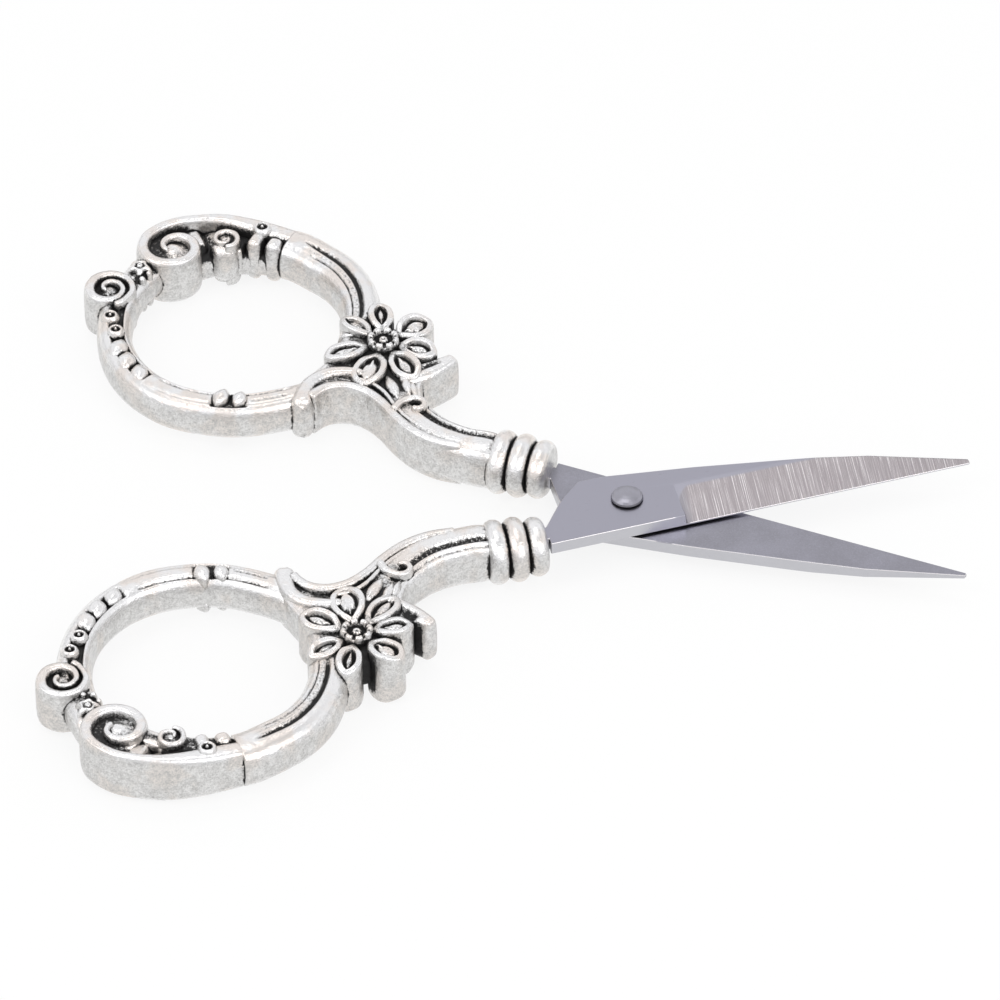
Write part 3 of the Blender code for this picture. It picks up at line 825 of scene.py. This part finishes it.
class Value:
    """A socket that adds Math nodes when it is used in an expression."""

    def __init__(self, graph, socket):
        self.graph, self.socket = graph, socket

    def math(self, operation, *others):
        """A Math node of this value and any others."""
        return self.graph.node("ShaderNodeMath", {"operation": operation}, dict(enumerate([self, *others])))

    def __add__(self, other):
        return self.math("ADD", other)

    __radd__ = __add__

    def __mul__(self, other):
        return self.math("MULTIPLY", other)

    __rmul__ = __mul__

    def __sub__(self, other):
        return self.math("SUBTRACT", other)

    def __rsub__(self, other):
        return self.graph.node("ShaderNodeMath", {"operation": "SUBTRACT"}, {0: other, 1: self})

    def __truediv__(self, other):
        return self.math("DIVIDE", other)

    def over(self, low, high):
        """A soft step from 0 at low to 1 at high."""
        return self.graph.node(
            "ShaderNodeMapRange", {"interpolation_type": "SMOOTHSTEP"},
            {"Value": self, "From Min": low, "From Max": high})


class Graph:
    """The emptied node tree of a material, or of the world."""

    def __init__(self, owner, output="ShaderNodeOutputMaterial"):
        owner.use_nodes = True
        self.owner, self.tree = owner, owner.node_tree
        self.tree.nodes.clear()
        self.output = self.tree.nodes.new(output)

    def node(self, kind, settings=None, sockets=None, out=0):
        """A node of a type, its settings first, then the values or links of its sockets."""
        made = self.tree.nodes.new(kind)
        for key, value in (settings or {}).items():
            if key == "stops":
                self.set_stops(made.color_ramp, value)
            else:
                setattr(made, key, value)
        for key, value in (sockets or {}).items():
            if isinstance(value, Value):
                self.tree.links.new(value.socket, made.inputs[key])
            else:
                made.inputs[key].default_value = value
        return Value(self, made.outputs[out])

    def set_stops(self, ramp, stops):
        """Sets the places and colours of a colour ramp."""
        while len(ramp.elements) < len(stops):
            ramp.elements.new(0.5)
        for element, (place, colour) in zip(ramp.elements, stops):
            element.position, element.color = place, (*colour, 1)

    def mix(self, share, a, b):
        """Colour a where share is 0 and b where it is 1."""
        colours = {6: a if isinstance(a, Value) else (*a, 1), 7: b if isinstance(b, Value) else (*b, 1)}
        return self.node("ShaderNodeMix", {"data_type": "RGBA"}, {0: share, **colours}, out=2)

    def attribute(self, name):
        """A number that each point of the mesh carries."""
        return self.node("ShaderNodeAttribute", {"attribute_name": name}, out=2)

    def place(self, turn=0.0, move=(0, 0, 0)):
        """Object coordinates in millimetres, moved and then turned about Z."""
        at = self.node("ShaderNodeTexCoord", out=3)
        at = self.node("ShaderNodeVectorMath", {"operation": "SCALE"}, {0: at, "Scale": 1 / MM})
        return self.node("ShaderNodeMapping", {"vector_type": "POINT"}, {
            "Vector": at, "Location": Matrix.Rotation(turn, 3, "Z") @ Vector(move), "Rotation": (0, 0, turn)})

    def stretched(self, at, scale):
        """A place multiplied by a scale for each axis."""
        return self.node("ShaderNodeVectorMath", {"operation": "MULTIPLY"}, {0: at, 1: scale})

    def noise(self, at, scale, detail=3.0, rough=0.55):
        """Noise with so many waves to a millimetre."""
        return self.node("ShaderNodeTexNoise", None, {
            "Vector": at, "Scale": scale, "Detail": detail, "Roughness": rough})

    def axis(self, at, which):
        """One coordinate of a vector."""
        return self.node("ShaderNodeSeparateXYZ", None, {0: at}, out=which)

    def level(self):
        """1 where the surface lies flat on the table's plane and 0 where it stands upright."""
        return self.axis(self.node("ShaderNodeNewGeometry", out=1), 2).math("ABSOLUTE")

    def bump(self, height, strength, distance):
        """A normal tilted by the slope of a height."""
        return self.node("ShaderNodeBump", None, {
            "Height": height, "Strength": strength, "Distance": distance})

    def ray(self, kind):
        """1 for rays of a kind and 0 for all others."""
        return self.node("ShaderNodeLightPath", out=f"Is {kind} Ray")

    def seen(self):
        """1 for rays from the camera, from a mirror or through glass."""
        mirror, through = self.ray("Glossy"), self.ray("Transmission")
        return self.ray("Camera").math("MAXIMUM", mirror).math("MAXIMUM", through)

    def finish(self, shader):
        """Takes a shader as the surface, and gives back the material or the world."""
        self.tree.links.new(shader.socket, self.output.inputs["Surface"])
        return self.owner

    def surface(self, **sockets):
        """The Principled shader, with sockets named in words."""
        named = {key.replace("_", " "): value for key, value in sockets.items()}
        return self.finish(self.node("ShaderNodeBsdfPrincipled", None, named))


def material_graph(name):
    """The node tree of the material of this name, new or built again."""
    return Graph(bpy.data.materials.get(name) or bpy.data.materials.new(name))


def antique_silver():
    """Cast silver: bright on the heights, black where the casting is shut in, mottled on its walls."""
    look = bpy.context.scene.scissors_silver
    g = material_graph("antique_silver")
    at = g.place()
    crease, hollow, soot = g.attribute("crease"), g.attribute("hollow"), g.attribute("soot")
    wall = 1 - g.level().over(0.15, 0.7)
    grain, cloud = g.noise(at, 2.2, 5, 0.7), g.noise(at, 0.22, 2)
    speck = g.noise(at, 5.0, 3, 0.6)
    uneven = (grain - 0.5) * 1.9 + (speck - 0.5) * 1.4
    shut = (crease - 0.5) * 5.0
    depth = hollow.math("MAXIMUM", shut).math("MAXIMUM", soot)
    depth = depth + uneven * depth.over(0.0, 0.3)
    black = depth.over(0.66 - 0.14 * look.patina, 0.94 - 0.14 * look.patina)
    stain = depth.over(0.15, 0.55) * 0.55 + speck.over(0.6, 0.72) * 0.25
    dent = g.noise(at, 0.9, 3, 0.6)
    silver = g.mix(cloud.over(0.44, 0.62), look.bright, look.warm)
    mottle = 0.25 + dent.over(0.35, 0.65) * 0.2 + grain.over(0.42, 0.6) * 0.3 + speck.over(0.42, 0.58) * 0.3
    silver = g.mix(wall * mottle, silver, look.wall)
    silver = g.mix(stain, silver, look.stain)
    colour = g.mix(black, silver, look.soot)
    rough = 0.12 + wall * 0.14 + grain * 0.12 + black * 0.3
    bump = g.bump(grain * 0.3 + speck * 0.2 + dent * (0.6 + wall * 1.2), 0.8, 0.0002)
    return g.surface(Base_Color=colour, Metallic=1 - black * 0.55, Roughness=rough, Normal=bump)


def steel(name, half, tint):
    """Ground blade steel: a smooth flat, and a bevel with streaks of the wheel across the edge. The chamfered
    edges carry a painted highlight, and the start of the bevel a painted shade.
    """
    look = bpy.context.scene.scissors_steel
    g = material_graph(name)
    at = g.place(math.radians(-TURN[half]), move=tuple(-PIVOT))
    along, high, level = g.axis(at, 0), g.axis(at, 2).math("ABSOLUTE"), g.level()
    side = 1 - level.over(0.2, 0.4)
    lead = along.over(5.4, 5.8) * (1 - along.over(7.5, 7.9))
    # Painted highlight: this mask picks the chamfered edges between the flat and the side wall, which are
    # coloured near white as the bright line a lamp makes along them.
    edge = level.over(0.12, 0.3) * (1 - level.over(0.88, 0.95)) * (1 - lead)
    bevel = (1 - high.over(1.93, 2.02)) * high.over(0.2, 0.35) * (1 - side)
    streak_at = g.stretched(at, (2.4, 0.014, 0.06))
    streak, fine = g.noise(streak_at, 2.6, 5, 0.7), g.noise(streak_at, 9.0, 2, 0.6)
    hair = g.noise(g.stretched(at, (0.3, 5.0, 1.0)), 1.5, 3, 0.6)
    cloud, fleck = g.noise(at, 0.16, 3), g.noise(at, 5.0, 3, 0.7)
    flat = g.mix(cloud.over(0.35, 0.7) * 0.4 + fleck.over(0.42, 0.66) * 0.5, tint, look.flat)
    ground = g.mix(streak.over(0.55, 0.6) * 0.75 + fine.over(0.5, 0.66) * 0.35, look.bevel, look.streak)
    # Painted shade: where the bevel starts, its colour darkens towards the lower blade's colour, standing in
    # for the shaded face where the grinding runs out.
    ground = g.mix((1 - along.over(7.2, 8.8)) * 0.7, ground, look.lower)
    before = ((9.0 - along) / 2.4).math("MAXIMUM", 0.0)
    above = ((high - 1.1) / 0.9).math("MAXIMUM", 0.0)
    bevel = bevel * (1 - (before * before + above * above).over(0.75, 1.0))
    colour = g.mix(bevel * (1 - edge), flat, ground)
    colour = g.mix(side * (0.75 + hair * 0.3), colour, look.edge)
    # Painted highlight: the chamfered edges are coloured near white in the streak colour.
    colour = g.mix(edge * 0.95, colour, look.streak)
    rough = 0.3 + bevel * 0.06 + (hair - 0.5) * 0.12 - edge * 0.1
    bump = g.bump(streak * bevel + hair * 0.15 + fleck * 0.1, 0.25, 0.00006)
    return g.surface(Base_Color=colour, Metallic=1.0, Roughness=rough, Normal=bump)


def rivet_steel():
    """Turned rivet steel with faint rings, and a painted shade that darkens the sloping rim of its head."""
    look = bpy.context.scene.scissors_steel
    g = material_graph("rivet_steel")
    at = g.place(move=tuple(-PIVOT))
    out = g.node("ShaderNodeVectorMath", {"operation": "LENGTH"}, {0: at}, out=1)
    rings = (out * 22.0).math("SINE")
    grain = g.noise(at, 3.0, 4, 0.6)
    # Painted shade: the head is coloured nearly black where it slopes down to its rim, where shade falls.
    rim = 1 - g.level().over(0.2, 0.62)
    colour = g.mix(grain.over(0.35, 0.7) * 0.5, look.rivet, look.flat)
    colour = g.mix(rim * 0.85, colour, look.rim)
    return g.surface(
        Base_Color=colour, Metallic=1.0, Roughness=0.26 + grain * 0.12,
        Normal=g.bump(rings * 0.1 + grain, 0.15, 0.00005))


# What a user may change


def colour_property(name, description, default):
    """A colour with red, green and blue from 0 to 1."""
    return bpy.props.FloatVectorProperty(
        name=name, description=description, default=default, subtype="COLOR", min=0, max=1)


def share_property(name, description, most):
    """A strength that is 1 as it stands."""
    return bpy.props.FloatProperty(
        name=name, description=description, default=1.0, min=0, max=most, subtype="FACTOR")


def length_property(name, description, default, most):
    """A length given in millimetres and kept in metres."""
    return bpy.props.FloatProperty(
        name=name, description=description, default=default * MM, min=0.1 * MM, max=most * MM,
        unit="LENGTH", precision=5)


class ScissorsShape(bpy.types.PropertyGroup):
    """Sizes of the cast handles' ornament."""

    ring_height: length_property("Ring height", "Height of the plain parts of the finger ring", 5.7, 8.0)
    groove_depth: length_property("Groove depth", "Depth of the main groove along the upper bow", 0.75, 1.5)
    leaf_channel: length_property("Leaf channel", "Depth of the channel under the small leaves", 0.8, 1.5)
    bead_radius: length_property("Bead radius", "Radius of the beads with an eye", 1.35, 2.0)
    petal_height: length_property("Petal height", "Height of the rims above the middle plane", 3.8, 4.3)
    petal_rim: length_property("Petal rim", "Width of the rolled rim of a petal", 0.8, 1.5)
    petal_depth: length_property("Petal depth", "How far the inside of a petal is sunk", 1.05, 2.0)
    cup_radius: length_property("Cup radius", "Radius of the crown in the middle of the flower", 2.3, 3.0)
    cup_height: length_property("Cup height", "Height of the crown above the middle plane", 4.3, 4.3)
    collar_bulge: length_property("Collar bulge", "Half the thickness of each rolled collar", 1.36, 1.6)


class ScissorsSilver(bpy.types.PropertyGroup):
    """Colours of the cast handles."""

    bright: colour_property("Bright silver", "Polished heights of the casting", (0.95, 0.945, 0.94))
    warm: colour_property("Warm silver", "Faint warm clouds in the silver", (0.92, 0.86, 0.81))
    wall: colour_property("Wall silver", "Mottled side walls", (0.52, 0.515, 0.505))
    stain: colour_property("Stain", "Thin stain on the way into a hollow", (0.26, 0.255, 0.25))
    soot: colour_property("Black finish", "Black left in the hollows", (0.022, 0.021, 0.021))
    patina: share_property("Patina", "How far the black finish spreads", 2)


class ScissorsSteel(bpy.types.PropertyGroup):
    """Colours of the blades and the rivet."""

    flat: colour_property("Flat", "Smooth faces of the blades", (0.43, 0.425, 0.49))
    bevel: colour_property("Bevel", "Ground bevel", (0.42, 0.38, 0.395))
    # The streak colour also paints a highlight on the blades' chamfered edges. The edge colour is used on
    # their side walls only.
    streak: colour_property("Streak", "Bright streaks of the grinding wheel", (0.97, 0.94, 0.945))
    edge: colour_property("Edges", "Side walls and worn edges of the blades", (0.57, 0.57, 0.60))
    # The lower blade colour also paints the shade where a bevel starts.
    lower: colour_property("Lower blade", "Inner face of the lower blade", (0.33, 0.325, 0.365))
    rivet: colour_property("Rivet", "Head of the rivet", (0.39, 0.385, 0.43))
    # The rim colour is the painted shade on the sloping rim of the rivet's head.
    rim: colour_property("Rivet rim", "Dark rim round the head of the rivet", (0.05, 0.05, 0.052))


class ScissorsStudio(bpy.types.PropertyGroup):
    """The room round the scissors."""

    floor: colour_property("Floor", "Colour of the floor", (0.93, 0.93, 0.93))
    lamps: share_property("Lamps", "Strength of the soft lamps", 4)


# Operators


def cast_both(group):
    """Builds one group of the casting on the far and the near handle."""
    for half in ("far", "near"):
        cast_piece(f"{half}_{group}", half, group).data.materials.append(antique_silver())


class SCISSORS_OT_ring(bpy.types.Operator):
    """Builds both finger rings"""

    bl_idname = "scissors.ring"
    bl_label = "Finger rings"

    def execute(self, context):
        cast_both("ring")
        return {"FINISHED"}


class SCISSORS_OT_scrolls(bpy.types.Operator):
    """Builds the scroll bands and curls on both rings"""

    bl_idname = "scissors.scrolls"
    bl_label = "Scrolls"

    def execute(self, context):
        cast_both("scrolls")
        return {"FINISHED"}


class SCISSORS_OT_ornament(bpy.types.Operator):
    """Builds the pillars, beads, rosettes and leaves on both rings"""

    bl_idname = "scissors.ornament"
    bl_label = "Beads and leaves"

    def execute(self, context):
        cast_both("ornament")
        return {"FINISHED"}


class SCISSORS_OT_neck(bpy.types.Operator):
    """Builds both necks with their collars"""

    bl_idname = "scissors.neck"
    bl_label = "Necks and collars"

    def execute(self, context):
        cast_both("neck")
        return {"FINISHED"}


class SCISSORS_OT_body(bpy.types.Operator):
    """Builds the webs, horns and curls below both flowers"""

    bl_idname = "scissors.body"
    bl_label = "Webs and horns"

    def execute(self, context):
        cast_both("body")
        return {"FINISHED"}


class SCISSORS_OT_flower(bpy.types.Operator):
    """Builds both flowers"""

    bl_idname = "scissors.flower"
    bl_label = "Flowers"

    def execute(self, context):
        cast_both("flower")
        return {"FINISHED"}


class SCISSORS_OT_blades(bpy.types.Operator):
    """Gives the blades and the rivet their steel"""

    bl_idname = "scissors.blades"
    bl_label = "Blades and rivet"

    def execute(self, context):
        look = context.scene.scissors_steel
        for node, half, tint in (("lower_blade", "far", look.lower), ("upper_blade", "near", look.flat)):
            self.paint(node, steel(node + "_steel", half, tuple(tint)), "blade_steel")
            self.wear(frame["nodes"][node].modifiers)
        self.paint("pivot_rivet", rivet_steel(), "rivet_steel")
        return {"FINISHED"}

    def wear(self, modifiers):
        """Joins the corners where faces meet, and takes the sharp edges off by 0.15 mm."""
        modifiers.new("joined_corners", "WELD").merge_threshold = 0.001 * MM
        bevel = modifiers.new("worn_edges", "BEVEL")
        bevel.width, bevel.segments, bevel.use_clamp_overlap = 0.15 * MM, 1, False
        bevel.limit_method, bevel.angle_limit, bevel.harden_normals = "ANGLE", math.radians(35), True

    def paint(self, node, material, slot):
        """Gives a node one material. The slot is not used."""
        obj = frame["nodes"][node]
        obj.data.materials.clear()
        obj.data.materials.append(material)


class SCISSORS_OT_stage(bpy.types.Operator):
    """Builds the floor, the soft lamps, the white room and the camera"""

    bl_idname = "scissors.stage"
    bl_label = "Stage"

    def execute(self, context):
        look = context.scene.scissors_studio
        self.floor(look)
        self.room()
        for name, place, width, power in LAMPS:
            self.lamp(name, place, width, power * look.lamps)
        self.camera()
        return {"FINISHED"}

    def floor(self, look):
        """A wide floor just below the scissors: a pale one for the light, nearly white to the eye."""
        reach, below = 6.0, 0.03 * MM
        corners = np.array([(-reach, -reach), (reach, -reach), (reach, reach), (-reach, reach)])
        points = np.column_stack([corners, np.full(4, CAD_LOW.z - below)])
        obj = make_object("studio_floor", points, np.array([[0, 1, 2, 3]]), np.zeros((0, 3), int), False)
        g = material_graph("studio_floor")
        paint = g.node("ShaderNodeBsdfPrincipled", None, {"Base Color": (*look.floor, 1), "Roughness": 0.9})
        white = g.node("ShaderNodeEmission", None, {"Color": WHITE, "Strength": 1.0})
        mixed = g.node("ShaderNodeMixShader", None, {0: g.seen() * 0.85, 1: paint, 2: white})
        obj.data.materials.append(g.finish(mixed))

    def room(self):
        """An evenly lit white room. What mirrors see of it changes with the height that they look to."""
        world = bpy.data.worlds.get("studio_room") or bpy.data.worlds.new("studio_room")
        bpy.context.scene.world = world
        g = Graph(world, "ShaderNodeOutputWorld")
        stops = [(place, (level, level, level * 1.02)) for place, level in CEILING]
        height = g.axis(g.node("ShaderNodeTexCoord"), 2)
        ceiling = g.node("ShaderNodeValToRGB", {"stops": stops}, {0: height})
        shown = g.mix(g.ray("Camera"), ceiling, WHITE[:3])
        shown = g.node("ShaderNodeBackground", None, {"Color": shown, "Strength": 1.0})
        lit = g.node("ShaderNodeBackground", None, {"Color": WHITE, "Strength": 0.82})
        g.finish(g.node("ShaderNodeMixShader", None, {0: g.seen(), 1: lit, 2: shown}))

    def lamp(self, name, place, width, power):
        """A round soft lamp that faces the middle of the scissors."""
        data = bpy.data.lights.new(name, "AREA")
        data.shape, data.size, data.energy = "DISK", width, power
        obj = add_object(name, data)
        obj.location = place
        obj.rotation_euler = Vector(place).to_track_quat("Z", "Y").to_euler()

    def camera(self):
        """The photograph's camera, first set square to the scissors and rolled, and then turned about the
        pivot."""
        rise, roll = math.radians(CAMERA_RISE), CAMERA_ROLL
        side, up = np.array([1, 0, 0]), np.array([0, math.sin(rise), math.cos(rise)])
        back = np.array([0, -math.cos(rise), math.sin(rise)])
        right = math.cos(roll) * side - math.sin(roll) * up
        top = math.sin(roll) * side + math.cos(roll) * up
        eye = np.array([*CAMERA_AIM, 0.0]) + back * CAMERA_DISTANCE
        right, top, back, eye = (turned(v, math.degrees(CAMERA_TURN)) for v in (right, top, back, eye))
        data = bpy.data.cameras.new("camera")
        data.sensor_width, data.lens = SENSOR_WIDTH, SENSOR_WIDTH * FOCAL_PIXELS / PICTURE_PIXELS
        data.clip_start, data.clip_end = 0.1, 20.0
        obj = add_object("camera", data)
        turn = Matrix([(*row,) for row in np.column_stack([right, top, back])])
        obj.matrix_world = Matrix.Translation(Vector((eye + PIVOT) * MM)) @ turn.to_4x4()
        bpy.context.scene.camera = obj


OPERATORS = (
    SCISSORS_OT_ring, SCISSORS_OT_scrolls, SCISSORS_OT_ornament, SCISSORS_OT_neck, SCISSORS_OT_body,
    SCISSORS_OT_flower, SCISSORS_OT_blades, SCISSORS_OT_stage,
)


class SCISSORS_PT_panel(bpy.types.Panel):
    """Lists the sizes, colours and operators of the scissors"""

    bl_label = "Scissors"
    bl_idname = "SCISSORS_PT_panel"
    bl_space_type = "VIEW_3D"
    bl_region_type = "UI"
    bl_category = "Scissors"

    def draw(self, context):
        for group, made in VALUES.items():
            box = self.layout.box()
            for name in made.__annotations__:
                box.prop(getattr(context.scene, group), name)
        for operator in OPERATORS:
            self.layout.operator(operator.bl_idname)


VALUES = {
    "scissors_shape": ScissorsShape, "scissors_silver": ScissorsSilver, "scissors_steel": ScissorsSteel,
    "scissors_studio": ScissorsStudio,
}
CLASSES = (*VALUES.values(), *OPERATORS, SCISSORS_PT_panel)


def register():
    """Registers the classes, and gives the scene its sizes and colours."""
    for made in CLASSES:
        bpy.utils.register_class(made)
    for name, made in VALUES.items():
        setattr(bpy.types.Scene, name, bpy.props.PointerProperty(type=made))


def unregister():
    """Takes back what register did."""
    for name in VALUES:
        delattr(bpy.types.Scene, name)
    for made in reversed(CLASSES):
        bpy.utils.unregister_class(made)


def main():
    """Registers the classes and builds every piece."""
    register()
    scene = bpy.context.scene
    scene.view_settings.view_transform = "Standard"
    for operator in OPERATORS:
        group, name = operator.bl_idname.split(".")
        getattr(getattr(bpy.ops, group), name)()
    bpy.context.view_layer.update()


if __name__ == "__main__":
    main()
